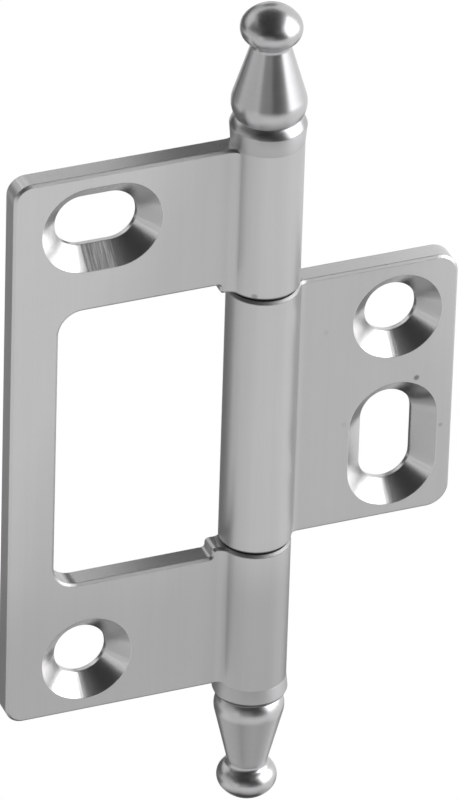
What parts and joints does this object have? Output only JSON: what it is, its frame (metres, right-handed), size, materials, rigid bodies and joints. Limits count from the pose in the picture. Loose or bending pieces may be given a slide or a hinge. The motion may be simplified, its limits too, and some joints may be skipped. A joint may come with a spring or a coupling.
{
  "type": "butt hinge",
  "caption": "Nesting butt hinge with turned finials on its pin; the small leaf folds into a window of the large leaf.",
  "frame": {"origin": "on the pin's axis, at the hinge's mid height", "axes": "+Z along the pin; the small leaf lies towards +X and the large leaf towards -X; the countersunk faces look towards -Y and the backs towards +Y"},
  "size_m": [0.0374, 0.006, 0.0738],
  "materials": {
    "large_leaf": "satin brushed",
    "small_leaf": "satin brushed",
    "hinge_pin": "drawn",
    "top_finial": "satin turned",
    "bottom_finial": "satin turned"
  },
  "bodies": {
    "fixed_leaf": {"large_leaf": "large_leaf", "hinge_pin": "hinge_pin", "top_finial": "top_finial", "bottom_finial": "bottom_finial"},
    "swinging_leaf": {"small_leaf": "small_leaf"}
  },
  "joints": [
    {"name": "leaf_swing", "type": "hinge", "parent": "fixed_leaf", "child": "swinging_leaf", "pos_m": [0, 0, 0], "axis": [0, 0, 1], "range_deg": [-180, 90]}
  ]
}
